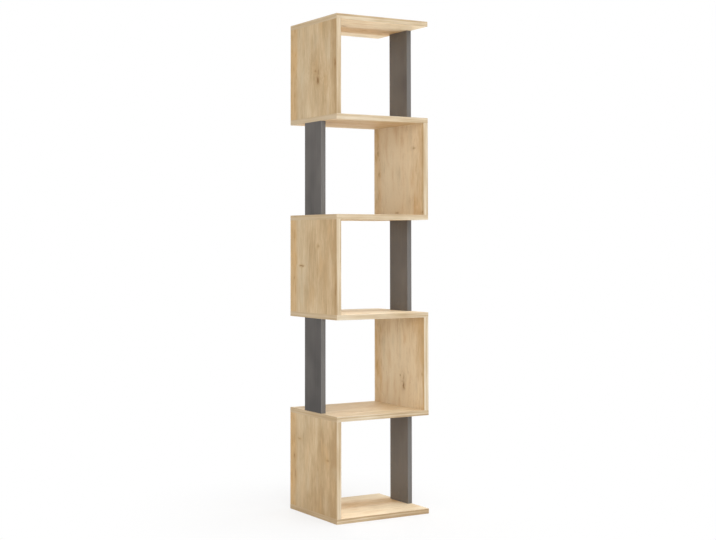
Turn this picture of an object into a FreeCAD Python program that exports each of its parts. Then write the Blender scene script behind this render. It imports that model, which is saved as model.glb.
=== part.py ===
import FreeCAD, Part
import math
import os
from collections import namedtuple
from FreeCAD import Vector

# Open bookshelf: oak-finished boards stacked tier on tier. Every tier stands on one
# full-depth side panel and, at the other end, on one narrow dark post. The two change
# sides from tier to tier, so the panels climb the shelf in a zigzag.
# Millimetres. X runs along the boards, Y from the front (-) to the back (+), Z up.
# The origin is the middle of the underside of the base board.

# The shelf as a whole
WIDTH = 380.0  # across the front
DEPTH = 340.0  # front to back
CLEAR_HEIGHT = 332.0  # free height between two boards
TIER_COUNT = 5

# Sheet material and the strips glued to its cut edges
BOARD_THICKNESS = 18.0
PANEL_THICKNESS = 18.0
POST_THICKNESS = 18.0
POST_DEPTH = 120.0  # front to back
BAND_THICKNESS = 1.0
BAND_ROUNDING = 0.5  # radius on the strip's long outer edges

# Drilling pattern at each end of an upright
PANEL_BOLT_SETBACK = 50.0  # from a panel's front or back edge to its bolt
DOWEL_SPACING = 32.0  # from a bolt to the dowel beside it
CAM_SETBACK = 24.0  # from the upright's end to the middle of the cam

# Cam bolt, screwed into a board and held by a cam in the upright
THREAD_DIAMETER = 6.0
THREAD_LENGTH = 11.0
COLLAR_LENGTH = 2.5  # the shoulder that stops the bolt at the board's face
STEM_DIAMETER = 6.0
NECK_DIAMETER = 4.0
HEAD_DIAMETER = 7.0
HEAD_LENGTH = 4.0
BOLT_CHAMFER = 0.6

# Cam lock, turned a quarter round to pull the bolt's head in
CAM_DIAMETER = 15.0
CAM_WALL = 3.5  # between the bolt's head and the cam's rim
CAM_FLOOR = 0.9  # below the hollow that takes the bolt's head
RECESS_LENGTH = 8.0  # the cross for the screwdriver
RECESS_WIDTH = 1.6
RECESS_DEPTH = 1.8

# Dowels, and the thin caps stuck over the cams
DOWEL_DIAMETER = 8.0
DOWEL_LENGTH = 30.0
DOWEL_IN_BOARD = 11.0
DOWEL_CHAMFER = 1.0
CAP_OVERLAP = 1.5  # how far the cap reaches past the cam's rim
CAP_THICKNESS = 0.5

# Room left around the fittings, and the overrun of every cut
FIT_CLEARANCE = 0.1  # on the radius
BORE_CLEARANCE = 0.5  # on the radius, around the head on its way to the cam
END_CLEARANCE = 0.5  # at the blind end of a hole
OVERRUN = 2.0

ALONG_X = Vector(1, 0, 0)
ALONG_Y = Vector(0, 1, 0)
UP = Vector(0, 0, 1)
DOWN = Vector(0, 0, -1)
QUARTER_TURN = 90
HALF_TURN = 180
LEFT = -1
RIGHT = 1

bolt_place = DEPTH / 2 - PANEL_BOLT_SETBACK
inner_dowel_place = bolt_place - DOWEL_SPACING
bore_radius = HEAD_DIAMETER / 2 + BORE_CLEARANCE
hollow_radius = HEAD_DIAMETER / 2 + FIT_CLEARANCE
head_reach = CAM_DIAMETER / 2 - CAM_WALL  # from the cam's middle to the head's underside
cam_below_bolt = hollow_radius + CAM_FLOOR
tier_pitch = CLEAR_HEIGHT + BOARD_THICKNESS

Upright = namedtuple("Upright", "thickness depth bolt_places dowel_places")
PANEL = Upright(
    PANEL_THICKNESS,
    DEPTH,
    [-bolt_place, bolt_place],
    [-inner_dowel_place, inner_dowel_place],
)
POST = Upright(POST_THICKNESS, POST_DEPTH, [0], [-DOWEL_SPACING, DOWEL_SPACING])


def turned(profile):
    """A solid of revolution about Z from (radius, height) points, on the axis at both ends."""
    points = [Vector(radius, 0, height) for radius, height in profile]
    outline = Part.makePolygon(points + points[:1])
    return Part.Face(outline).revolve(Vector(), UP, 2 * HALF_TURN)


def edging_strip(corner, size, outward):
    """A strip glued on a cut edge, with its two long outer edges rounded."""
    strip = Part.makeBox(size.x, size.y, size.z, corner)
    outer_face = max(strip.Faces, key=lambda face: face.CenterOfMass.dot(outward))
    long_edges = sorted(outer_face.Edges, key=lambda edge: edge.Length)[-2:]
    return strip.makeFillet(BAND_ROUNDING, long_edges)


def both_ends(shapes):
    """The same shapes at the foot of an upright and, turned over, at its head."""
    turned_over = [shape.copy() for shape in shapes]
    for shape in turned_over:
        shape.rotate(Vector(0, 0, CLEAR_HEIGHT / 2), ALONG_X, HALF_TURN)
    return shapes + turned_over


def stood(shapes, tier, side):
    """Shapes made for a left-hand upright, stood on their tier at their end of the boards."""
    placed = [shape.copy() for shape in shapes]
    for shape in placed:
        if side == RIGHT:
            shape.rotate(Vector(), UP, HALF_TURN)
        shape.translate(Vector(side * WIDTH / 2, 0, tier_floor(tier)))
    return placed


def tier_floor(tier):
    return BOARD_THICKNESS + (tier - 1) * tier_pitch


def upright_core(upright):
    """The sheet itself, outer face at X = 0, drilled at both ends for its fittings."""
    depth = upright.depth - 2 * BAND_THICKNESS
    core = Part.makeBox(upright.thickness, depth, CLEAR_HEIGHT, Vector(0, -depth / 2, 0))
    return core.cut(both_ends(upright_holes(upright))).Solids[0]


def upright_edging(upright):
    size = Vector(upright.thickness, BAND_THICKNESS, CLEAR_HEIGHT)
    front = edging_strip(Vector(0, -upright.depth / 2, 0), size, -ALONG_Y)
    back = edging_strip(Vector(0, upright.depth / 2 - BAND_THICKNESS, 0), size, ALONG_Y)
    return [front, back]


def upright_holes(upright):
    """Holes in the foot of an upright: bolt bores, cam holes and dowel holes."""
    middle = upright.thickness / 2
    dowel_depth = DOWEL_LENGTH - DOWEL_IN_BOARD + END_CLEARANCE
    holes = []
    for y in upright.bolt_places:
        foot = Vector(middle, y, -OVERRUN)
        holes.append(Part.makeCylinder(bore_radius, CAM_SETBACK + OVERRUN, foot, UP))
        cam_bottom = Vector(middle - cam_below_bolt, y, CAM_SETBACK)
        cam_depth = middle + cam_below_bolt + OVERRUN
        cam_radius = CAM_DIAMETER / 2 + FIT_CLEARANCE
        holes.append(Part.makeCylinder(cam_radius, cam_depth, cam_bottom, ALONG_X))
    for y in upright.dowel_places:
        foot = Vector(middle, y, -OVERRUN)
        radius = DOWEL_DIAMETER / 2 + FIT_CLEARANCE
        holes.append(Part.makeCylinder(radius, dowel_depth + OVERRUN, foot, UP))
    return holes


def board_holes(upright):
    """Holes in the board under an upright: for its bolts' threads and its dowels."""
    middle = upright.thickness / 2
    drills = [
        (upright.bolt_places, THREAD_DIAMETER, THREAD_LENGTH),
        (upright.dowel_places, DOWEL_DIAMETER, DOWEL_IN_BOARD),
    ]
    holes = []
    for places, diameter, length in drills:
        radius = diameter / 2 + FIT_CLEARANCE
        depth = length + END_CLEARANCE
        for y in places:
            start = Vector(middle, y, OVERRUN)
            holes.append(Part.makeCylinder(radius, depth + OVERRUN, start, DOWN))
    return holes


def cam_bolt():
    """Origin on the board's face, thread downwards, head up in the cam."""
    thread_radius = THREAD_DIAMETER / 2
    collar_radius = bore_radius - FIT_CLEARANCE
    head_radius = HEAD_DIAMETER / 2
    neck_start = CAM_SETBACK - CAM_DIAMETER / 2 - FIT_CLEARANCE
    head_start = CAM_SETBACK - head_reach + FIT_CLEARANCE
    tip = head_start + HEAD_LENGTH
    return turned([
        (0, -THREAD_LENGTH),
        (thread_radius - BOLT_CHAMFER, -THREAD_LENGTH),
        (thread_radius, BOLT_CHAMFER - THREAD_LENGTH),
        (thread_radius, 0),
        (collar_radius, 0),
        (collar_radius, COLLAR_LENGTH),
        (STEM_DIAMETER / 2, COLLAR_LENGTH),
        (STEM_DIAMETER / 2, neck_start),
        (NECK_DIAMETER / 2, neck_start),
        (NECK_DIAMETER / 2, head_start),
        (head_radius, head_start),
        (head_radius, tip - BOLT_CHAMFER),
        (head_radius - BOLT_CHAMFER, tip),
        (0, tip),
    ])


def cam_lock(upright):
    """A cam that turns about Z, made with its face at Z = 0, then laid with that face along +X.

    The bolt's head came in through the mouth and was swung a quarter turn to the neck's place,
    which ends up towards -Z, where the upright's end is.
    """
    radius = CAM_DIAMETER / 2
    neck_radius = NECK_DIAMETER / 2 + FIT_CLEARANCE
    swing_radius = math.hypot(head_reach, hollow_radius) + FIT_CLEARANCE
    bolt_line = Vector(0, 0, -upright.thickness / 2)
    hollow_foot = bolt_line - UP * hollow_radius
    slot_foot = bolt_line - UP * neck_radius
    reach = radius + OVERRUN

    height = upright.thickness / 2 + cam_below_bolt
    body = Part.makeCylinder(radius, height, Vector(), DOWN)
    hollow = Part.makeCylinder(swing_radius, 2 * hollow_radius, hollow_foot, UP)
    mouth_corner = hollow_foot - ALONG_Y * hollow_radius
    mouth = Part.makeBox(reach, 2 * hollow_radius, 2 * hollow_radius, mouth_corner)
    neck_slot = Part.makeCylinder(reach, 2 * neck_radius, slot_foot, UP, QUARTER_TURN)
    place_corner = slot_foot - ALONG_X * neck_radius
    neck_place = Part.makeBox(2 * neck_radius, reach, 2 * neck_radius, place_corner)
    cuts = [hollow.fuse(mouth).removeSplitter(), neck_slot.fuse(neck_place).removeSplitter()]
    for length, width in [(RECESS_LENGTH, RECESS_WIDTH), (RECESS_WIDTH, RECESS_LENGTH)]:
        corner = Vector(-length / 2, -width / 2, -RECESS_DEPTH)
        cuts.append(Part.makeBox(length, width, RECESS_DEPTH + OVERRUN, corner))

    cam = body.cut(cuts).Solids[0]
    cam.rotate(Vector(), ALONG_Y, QUARTER_TURN)
    cam.rotate(Vector(), ALONG_X, -QUARTER_TURN)
    return cam


def dowel():
    """Origin on the board's face, the short end down in the board."""
    radius = DOWEL_DIAMETER / 2
    top = DOWEL_LENGTH - DOWEL_IN_BOARD
    return turned([
        (0, -DOWEL_IN_BOARD),
        (radius - DOWEL_CHAMFER, -DOWEL_IN_BOARD),
        (radius, DOWEL_CHAMFER - DOWEL_IN_BOARD),
        (radius, top - DOWEL_CHAMFER),
        (radius - DOWEL_CHAMFER, top),
        (0, top),
    ])


def cover_cap():
    """A thin disc with a sloping rim, lying on an inner face at X = 0."""
    radius = CAM_DIAMETER / 2 + CAP_OVERLAP
    disc = turned([
        (0, 0),
        (radius, 0),
        (radius - CAP_THICKNESS, CAP_THICKNESS),
        (0, CAP_THICKNESS),
    ])
    disc.rotate(Vector(), ALONG_Y, QUARTER_TURN)
    return disc


def repeated(shape, x, places, z):
    """Copies of a shape, moved to each place along an upright's depth."""
    copies = [shape.copy() for _ in places]
    for copy, y in zip(copies, places):
        copy.translate(Vector(x, y, z))
    return copies


def upright_fittings(upright):
    """All the fittings of one upright, by kind, for both of its ends."""
    middle = upright.thickness / 2
    kit = {
        "cam_bolts": repeated(cam_bolt(), middle, upright.bolt_places, 0),
        "cam_locks": repeated(cam_lock(upright), upright.thickness, upright.bolt_places, CAM_SETBACK),
        "dowels": repeated(dowel(), middle, upright.dowel_places, 0),
        "cover_caps": repeated(cover_cap(), upright.thickness, upright.bolt_places, CAM_SETBACK),
    }
    return {kind: both_ends(pieces) for kind, pieces in kit.items()}


def board_core(level, neighbours):
    """A board drilled from above and below for the uprights that meet it."""
    width = WIDTH - 2 * BAND_THICKNESS
    depth = DEPTH - 2 * BAND_THICKNESS
    corner = Vector(-width / 2, -depth / 2, level * tier_pitch)
    core = Part.makeBox(width, depth, BOARD_THICKNESS, corner)
    holes = []
    for upright, tier, side in neighbours:
        holes += stood(both_ends(board_holes(upright)), tier, side)
    return core.cut(holes).Solids[0]


def board_edging(level):
    """Front and back strips over the whole width, and the end strips between them."""
    foot = level * tier_pitch
    end_depth = DEPTH - 2 * BAND_THICKNESS
    long_strip = Vector(WIDTH, BAND_THICKNESS, BOARD_THICKNESS)
    end_strip = Vector(BAND_THICKNESS, end_depth, BOARD_THICKNESS)
    return [
        edging_strip(Vector(-WIDTH / 2, -DEPTH / 2, foot), long_strip, -ALONG_Y),
        edging_strip(Vector(-WIDTH / 2, DEPTH / 2 - BAND_THICKNESS, foot), long_strip, ALONG_Y),
        edging_strip(Vector(-WIDTH / 2, -end_depth / 2, foot), end_strip, -ALONG_X),
        edging_strip(Vector(WIDTH / 2 - BAND_THICKNESS, -end_depth / 2, foot), end_strip, ALONG_X),
    ]


def board_name(level):
    if level == 0:
        return "base_board"
    if level == TIER_COUNT:
        return "top_board"
    return f"shelf_{level}"


def panel_side(tier):
    """Panels stand on the left in the lowest tier, and change sides with every tier."""
    return LEFT if tier % 2 else RIGHT


def all_nodes():
    """Every node of the bookshelf: its name, and the separate solids in it."""
    uprights = []
    for tier in range(1, TIER_COUNT + 1):
        side = panel_side(tier)
        uprights.append(("panel", PANEL, tier, side))
        uprights.append(("post", POST, tier, -side))

    nodes = {}
    for level in range(TIER_COUNT + 1):
        neighbours = [item[1:] for item in uprights if item[2] in (level, level + 1)]
        nodes[board_name(level)] = [board_core(level, neighbours)]
        nodes[board_name(level) + "_edging"] = board_edging(level)

    for kind, upright, tier, side in uprights:
        nodes[f"{kind}_{tier}"] = stood([upright_core(upright)], tier, side)
        nodes[f"{kind}_{tier}_edging"] = stood(upright_edging(upright), tier, side)
        for fitting, pieces in upright_fittings(upright).items():
            group = f"{kind}_{fitting}" if fitting == "cover_caps" else fitting
            nodes.setdefault(group, []).extend(stood(pieces, tier, side))
    return nodes


os.makedirs("parts", exist_ok=True)
for name, solids in all_nodes().items():
    Part.makeCompound(solids).exportStep(f"parts/{name}.step")
    print(name, len(solids), "solids")
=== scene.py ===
# %% [markdown]
# # A zigzag bookshelf in light oak and anthracite
#
# The shelf is six boards, one above the other. Every tier stands on one wide oak panel and one slim dark
# post, and the two change ends from tier to tier. The packed CAD model brings every board, strip and
# fitting with its real size, so this lesson adds what a drawing lacks: wood print, light, and the fine
# shapes of the fittings.
#
# Loading comes first, because every later step needs the packed pieces.

# %% Load the packed shelf
import math

import bpy
from mathutils import Matrix, Vector


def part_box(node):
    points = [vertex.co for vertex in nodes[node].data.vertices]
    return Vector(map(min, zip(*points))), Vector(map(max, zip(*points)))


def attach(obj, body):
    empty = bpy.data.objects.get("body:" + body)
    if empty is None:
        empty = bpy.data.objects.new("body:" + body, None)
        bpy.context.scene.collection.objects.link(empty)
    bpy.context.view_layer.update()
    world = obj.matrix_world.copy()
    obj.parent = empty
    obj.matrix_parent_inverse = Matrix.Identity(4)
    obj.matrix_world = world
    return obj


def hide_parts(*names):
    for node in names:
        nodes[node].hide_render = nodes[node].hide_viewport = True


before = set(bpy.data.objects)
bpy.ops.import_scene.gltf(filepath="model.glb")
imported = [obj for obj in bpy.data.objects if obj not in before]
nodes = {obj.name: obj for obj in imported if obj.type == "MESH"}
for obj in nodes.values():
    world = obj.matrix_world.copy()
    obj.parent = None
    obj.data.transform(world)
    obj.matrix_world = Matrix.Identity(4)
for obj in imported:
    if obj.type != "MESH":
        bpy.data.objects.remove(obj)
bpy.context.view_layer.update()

# %% [markdown]
# ## The camera
#
# The photograph was taken from the front left, at about waist height, with a long lens. Its uprights stay
# almost parallel to the picture's sides, because the camera was nearly level and the lens was shifted.
# Turning the camera down would bring the shelf into the picture too, but its uprights would lean. A
# camera in Blender has the same shift, so here it does what the real one did.

# %% Camera
CAMERA_PLACE = Vector((-2.530, -4.225, 0.973))
CAMERA_TURN = math.radians(30.89)
CAMERA_TILT = math.radians(2.10)
CAMERA_ROLL = math.radians(-0.07)
SENSOR_WIDTH = 36.0
FOCAL_LENGTH = 68.0
LENS_SHIFT = -0.1093


def added(name, data):
    """A new object in the scene."""
    made = bpy.data.objects.new(name, data)
    bpy.context.scene.collection.objects.link(made)
    return made


lens = bpy.data.cameras.new("photo_camera")
lens.sensor_fit = "HORIZONTAL"
lens.sensor_width = SENSOR_WIDTH
lens.lens = FOCAL_LENGTH
lens.shift_y = LENS_SHIFT
camera = added("photo_camera", lens)
camera.matrix_world = (
    Matrix.Translation(CAMERA_PLACE)
    @ Matrix.Rotation(-CAMERA_TURN, 4, "Z")
    @ Matrix.Rotation(math.pi / 2 + CAMERA_TILT, 4, "X")
    @ Matrix.Rotation(CAMERA_ROLL, 4, "Z")
)
bpy.context.scene.camera = camera
bpy.context.scene.view_settings.view_transform = "Standard"
print("camera at", tuple(round(c, 3) for c in CAMERA_PLACE))

# %% [markdown]
# ## Writing node trees as sums
#
# A finish can be clicked together in the node editor, but a page of Math nodes is hard to read back. Here
# a small class wraps a socket, so that `1 - mask` or `tone * 0.3` adds the Math nodes by itself.

# %% Sockets that can be added and multiplied
def operator(operation, turned_round=False):
    """A method for one kind of sum, for a socket on the left or, turned round, on the right."""

    def method(self, other):
        return self.maths(operation, other, self) if turned_round else self.maths(operation, self, other)

    return method


class Wire:
    """A socket of a node tree. Arithmetic on it adds Math nodes."""

    def __init__(self, recipe, socket):
        self.recipe = recipe
        self.socket = socket

    def maths(self, operation, *values):
        return self.recipe.node("ShaderNodeMath", {"operation": operation}, dict(enumerate(values)))

    def __abs__(self):
        return self.maths("ABSOLUTE", self)

    __add__ = operator("ADD")
    __radd__ = operator("ADD", turned_round=True)
    __sub__ = operator("SUBTRACT")
    __rsub__ = operator("SUBTRACT", turned_round=True)
    __mul__ = operator("MULTIPLY")
    __rmul__ = operator("MULTIPLY", turned_round=True)
    __truediv__ = operator("DIVIDE")
    __pow__ = operator("POWER")
    __gt__ = operator("GREATER_THAN")
    __lt__ = operator("LESS_THAN")


print(Wire.__doc__)

# %% [markdown]
# ## A recipe for a tree
#
# Every other kind of node is added by one method, with its settings first and then its sockets. A helper
# for each kind would read a little better, but there are dozens. The same two classes serve materials,
# the world and the geometry trees.

# %% Recipes
class Recipe:
    """A node tree that is written down as Python expressions."""

    def __init__(self, tree):
        self.tree = tree
        tree.nodes.clear()

    def node(self, kind, settings=None, sockets=None, output=0):
        """Add a node: its settings are set first, then its sockets get their values or links."""
        made = self.tree.nodes.new(kind)
        for name, value in (settings or {}).items():
            if name == "stops":
                self.set_stops(made.color_ramp, value)
            elif name == "items":
                self.add_items(made.index_switch_items, value)
            else:
                setattr(made, name, value)
        for name, value in (sockets or {}).items():
            if isinstance(value, Wire):
                self.tree.links.new(value.socket, made.inputs[name])
            else:
                made.inputs[name].default_value = value
        return Wire(self, made.outputs[output]) if made.outputs else made

    def set_stops(self, ramp, stops):
        while len(ramp.elements) < len(stops):
            ramp.elements.new(1.0)
        for element, (place, colour) in zip(ramp.elements, stops):
            element.position = place
            element.color = colour

    def add_items(self, items, count):
        while len(items) < count:
            items.new()


print(Recipe.__doc__)

# %% [markdown]
# ## The sky
#
# Around the shelf in the photograph is nothing but white. A white room could be built, but its walls
# would light the shelf from all sides. So the sky is white only for the rays that look at it, and a dim
# grey for the rays that carry light.

# %% Sky
SKY_LIGHT = 0.30
WHITE = (1.0, 1.0, 1.0, 1.0)


def larger(first, second):
    """The larger of two values."""
    return first.maths("MAXIMUM", first, second)


def background_rays(recipe):
    """1 for the rays that should see a white background, 0 for the rays that carry light."""
    path = recipe.tree.nodes.new("ShaderNodeLightPath")
    looks, gloss, glass = [
        Wire(recipe, path.outputs[name]) for name in ("Is Camera Ray", "Is Glossy Ray", "Is Transmission Ray")
    ]
    return larger(looks, larger(gloss, glass))


world = bpy.data.worlds.new("studio")
bpy.context.scene.world = world
world.use_nodes = True
sky = Recipe(world.node_tree)
lit = sky.node("ShaderNodeBackground", {}, {"Color": WHITE, "Strength": SKY_LIGHT})
shown = sky.node("ShaderNodeBackground", {}, {"Color": WHITE, "Strength": 1.0})
either = sky.node("ShaderNodeMixShader", {}, {0: background_rays(sky), 1: lit, 2: shown})
sky.node("ShaderNodeOutputWorld", {}, {"Surface": either})
print("sky at", SKY_LIGHT)

# %% [markdown]
# ## The floor
#
# The shelf needs something to stand on, or it would seem to float. A white sweep could be modelled, but a
# plain floor does the same. Seen by the camera it is mostly its own white, so only the shelf's shadow
# shows on it, and that white fades in with the distance.

# %% Floor
FLOOR_GREY = (0.90, 0.90, 0.90, 1.0)
FLOOR_HALF = 14.0
FLOOR_DROP = 0.0004
FADE_NEAR = 0.20
FADE_FAR = 0.95
WHITE_SHARE_NEAR = 0.72


def finish(name):
    """A new material and the recipe that fills it."""
    material = bpy.data.materials.new(name)
    material.use_nodes = True
    return material, Recipe(material.node_tree)


def rise(value, low, high, first=0.0):
    """First (0 as a rule) below low, 1 above high and a soft slope between."""
    sockets = {"Value": value, "From Min": low, "From Max": high, "To Min": first}
    return value.recipe.node("ShaderNodeMapRange", {"interpolation_type": "SMOOTHSTEP"}, sockets)


paint, sweep = finish("studio_white")
place = sweep.node("ShaderNodeTexCoord", output="Object")
distance = sweep.node("ShaderNodeVectorMath", {"operation": "LENGTH"}, {0: place}, output="Value")
fade = rise(distance, FADE_NEAR, FADE_FAR, WHITE_SHARE_NEAR)
matt = sweep.node("ShaderNodeBsdfDiffuse", {}, {"Color": FLOOR_GREY})
glow = sweep.node("ShaderNodeEmission", {}, {"Color": WHITE, "Strength": 1.0})
either = sweep.node("ShaderNodeMixShader", {}, {0: background_rays(sweep) * fade, 1: matt, 2: glow})
sweep.node("ShaderNodeOutputMaterial", {}, {"Surface": either})

corners = []
for x, y in ((-1, -1), (1, -1), (1, 1), (-1, 1)):
    corners.append((x * FLOOR_HALF, y * FLOOR_HALF, -FLOOR_DROP))
floor_mesh = bpy.data.meshes.new("studio_floor")
floor_mesh.from_pydata(corners, [], [(0, 1, 2, 3)])
floor_mesh.materials.append(paint)
floor = added("studio_floor", floor_mesh)
print("floor", 2 * FLOOR_HALF, "m wide")

# %% [markdown]
# ## The lamps
#
# In the photograph the front edges are the brightest, the outer sides a little darker, and the insides
# stay light. One lamp could not do that, so five large soft boxes stand around the shelf. The strongest
# is behind the camera and one hangs high in front, both far away, so that the top gets as much light as
# the foot. Weaker ones at the sides and behind reach under the boards.

# %% Soft boxes
AIM = Vector((0.0, 0.0, 0.9))


def soft_box(name, place, size, power):
    """A large soft lamp that looks at the middle of the shelf."""
    lamp = bpy.data.lights.new(name, "AREA")
    lamp.shape = "RECTANGLE"
    lamp.size, lamp.size_y = size
    lamp.energy = power
    box = added(name, lamp)
    box.location = place
    box.rotation_euler = (AIM - Vector(place)).to_track_quat("-Z", "Y").to_euler()
    box.visible_camera = False
    return box


boxes = [
    soft_box("soft_box_camera", (-5.0, -8.5, 3.6), (5.0, 5.4), 430.0),
    soft_box("soft_box_right", (3.4, 0.2, 1.1), (2.4, 2.4), 56.0),
    soft_box("soft_box_left", (-4.0, -0.5, 1.5), (2.6, 2.8), 22.0),
    soft_box("soft_box_back", (1.5, 4.0, 1.6), (2.6, 2.6), 112.0),
    soft_box("soft_box_above", (0.3, -3.0, 7.0), (5.4, 5.4), 255.0),
]
print("soft boxes:", len(boxes))

# %% [markdown]
# ## Where a point lies
#
# A print on a real sheet doesn't care how the sheet is lit, only where on it one looks. So every finish
# here asks two things of a point: its place in the shelf's frame, and the way its surface faces.
# Unwrapped pictures would work too, but they blur close up and show seams.

# %% Places and facing
def three(recipe, vector):
    """The three parts of a vector."""
    first = recipe.node("ShaderNodeSeparateXYZ", {}, {0: vector})
    return [Wire(recipe, part) for part in first.socket.node.outputs]


def spot(recipe):
    """Where a point lies in the shelf's frame, in metres."""
    return three(recipe, recipe.node("ShaderNodeTexCoord", output="Object"))


def facing(recipe):
    """How far a surface faces along each axis, from -1 to 1."""
    return three(recipe, recipe.node("ShaderNodeNewGeometry", output="Normal"))


print("finishes know place and facing")

# %% [markdown]
# ## Stretched marks
#
# Boards and panels are particle board with a printed oak face: fine straight lines, short flecks, soft
# clouds, and a knot here and there. Rings could be carved out of a solid texture, but a print is flat.
# Noise that is stretched along the grain gives the same marks and stays sharp at any distance.

# %% Marks and colours
NOISE_MIDDLE = 0.5
RAMP_MIDDLE = 0.5


def marks(across, along, seed, kind):
    """Noise around 0. A kind is marks to the metre across and along the grain, detail and its own seed."""
    recipe = across.recipe
    many_across, many_along, detail, own_seed = kind
    sockets = {0: across * many_across, 1: along * many_along, 2: seed + own_seed}
    place = recipe.node("ShaderNodeCombineXYZ", {}, sockets)
    sockets = {"Vector": place, "Scale": 1.0, "Detail": detail}
    return recipe.node("ShaderNodeTexNoise", {}, sockets) - NOISE_MIDDLE


def layered(tone, across, along, seed, weights):
    """A tone with several kinds of marks added by weight, and the marks themselves."""
    layers = {}
    for kind, weight in weights.items():
        layers[kind] = marks(across, along, seed, kind)
        tone = tone + layers[kind] * weight
    return tone, layers


def bell(reach, steep):
    """1 in the middle of a mark, falling off with the square of the distance."""
    return reach.maths("EXPONENT", reach * -steep)


def mixed(recipe, share, first, second):
    """A colour between two colours."""
    return recipe.node("ShaderNodeMix", {"data_type": "RGBA"}, {0: share, 6: first, 7: second}, output=2)


def ramp(recipe, value, stops):
    """A colour ramp over a value from 0 to 1."""
    return recipe.node("ShaderNodeValToRGB", {"stops": stops}, {"Fac": value})


print("marks and colours are ready")

# %% [markdown]
# ## Knots
#
# A knot is the root of a branch, with a dark ragged heart and a faint halo, and the grain flows around
# it. It could be painted as a round spot, but then the lines would run straight through. Here one
# distance does both: it pushes the grain aside and darkens the middle.

# %% Knots
KNOT_RIM = (110.0, 70.0, 3.0, 90.0)
KNOT_RAGGED = 1.1
KNOT_PULL = 0.8
PULL_STEEP = 0.8
HEART_STEEP = 4.0
HEART_DARK = 0.72
HALO_STEEP = 0.7
HALO_DARK = 0.28


def knots_in(across, along, seed, knots):
    """How far the lines bend around the knots, and how dark the knots are."""
    ragged = marks(across, along, seed, KNOT_RIM) * KNOT_RAGGED
    bend = across * 0.0
    dark = across * 0.0
    for side, height, wide, high, depth in knots:
        aside = across - side
        reach = (aside / wide + ragged) ** 2.0 + ((along - height) / high + ragged) ** 2.0
        bend = bend + aside * bell(reach, PULL_STEEP)
        spot_dark = bell(reach, HEART_STEEP) * HEART_DARK + bell(reach, HALO_STEEP) * HALO_DARK
        dark = larger(dark, spot_dark * depth)
    return bend * KNOT_PULL, dark


print("knots push the grain aside, with a pull of", KNOT_PULL)

# %% [markdown]
# ## The tones of oak
#
# Seen close, light oak is many tones from brown to cream, with warm and greyish patches and dark open
# pores. One noise would give clouds and nothing else. So there are marks of many sizes, from planks to
# hair lines, and each kind has its own weight in the tone.

# %% Tones and marks of the print
OAK_LINE = (0.410, 0.270, 0.140, 1.0)
OAK_BROWN = (0.455, 0.310, 0.165, 1.0)
OAK_TAN = (0.575, 0.415, 0.240, 1.0)
OAK_HONEY = (0.665, 0.500, 0.305, 1.0)
OAK_PALE = (0.735, 0.580, 0.380, 1.0)
OAK_CREAM = (0.875, 0.735, 0.525, 1.0)
OAK_ORANGE = (0.670, 0.445, 0.225, 1.0)
OAK_GREY = (0.650, 0.530, 0.355, 1.0)
OAK_RUSSET = (0.450, 0.245, 0.085, 1.0)
OAK_KNOT = (0.225, 0.115, 0.045, 1.0)
OAK_TONES = [(0.0, OAK_BROWN), (0.28, OAK_TAN), (0.5, OAK_HONEY), (0.72, OAK_PALE), (1.0, OAK_CREAM)]

WANDER = (5.0, 1.8, 2.0, 0.0)
PLANKS = (26.0, 0.8, 2.0, 11.0)
STREAKS = (85.0, 6.0, 3.0, 23.0)
FLECKS = (280.0, 28.0, 2.0, 29.0)
LINES = (620.0, 9.0, 3.0, 37.0)
PORES = (1700.0, 80.0, 1.0, 53.0)
CLOUDS = (12.0, 6.0, 4.0, 71.0)
BLUSH = (22.0, 7.0, 3.0, 83.0)
MOTTLE = (75.0, 22.0, 3.0, 97.0)
TONE_WEIGHTS = {PLANKS: 0.5, STREAKS: 0.55, FLECKS: 0.8, LINES: 0.6}
CLOUD_WEIGHT = 1.2
print("oak in", len(OAK_TONES), "tones, lines", 1 / LINES[0], "m apart")

# %% [markdown]
# ## Laying the marks over each other
#
# The marks add up to one tone, and a ramp turns it into a colour. Warm and grey patches, pores and knots
# come on top. Roughness and relief could have noise of their own, but on a real sheet they follow the
# print: a pore is dark, dull and deep at the same place.

# %% The print itself
WANDER_REACH = 0.030
BLUSH_EDGES = (0.02, 0.25)
BLUSH_SHARE = 0.5
MOTTLE_EDGES = (0.0, 0.22)
MOTTLE_SHARE = 0.7
PORE_EDGES = (0.09, 0.19)
PORE_STREAKS = (-0.08, 0.12)
PORE_DARK = 0.4
OAK_ROUGH = 0.70
LINE_ROUGH = 0.16
PORE_ROUGH = 0.10
LINE_RELIEF = 0.5
FLECK_RELIEF = 0.3


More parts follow.
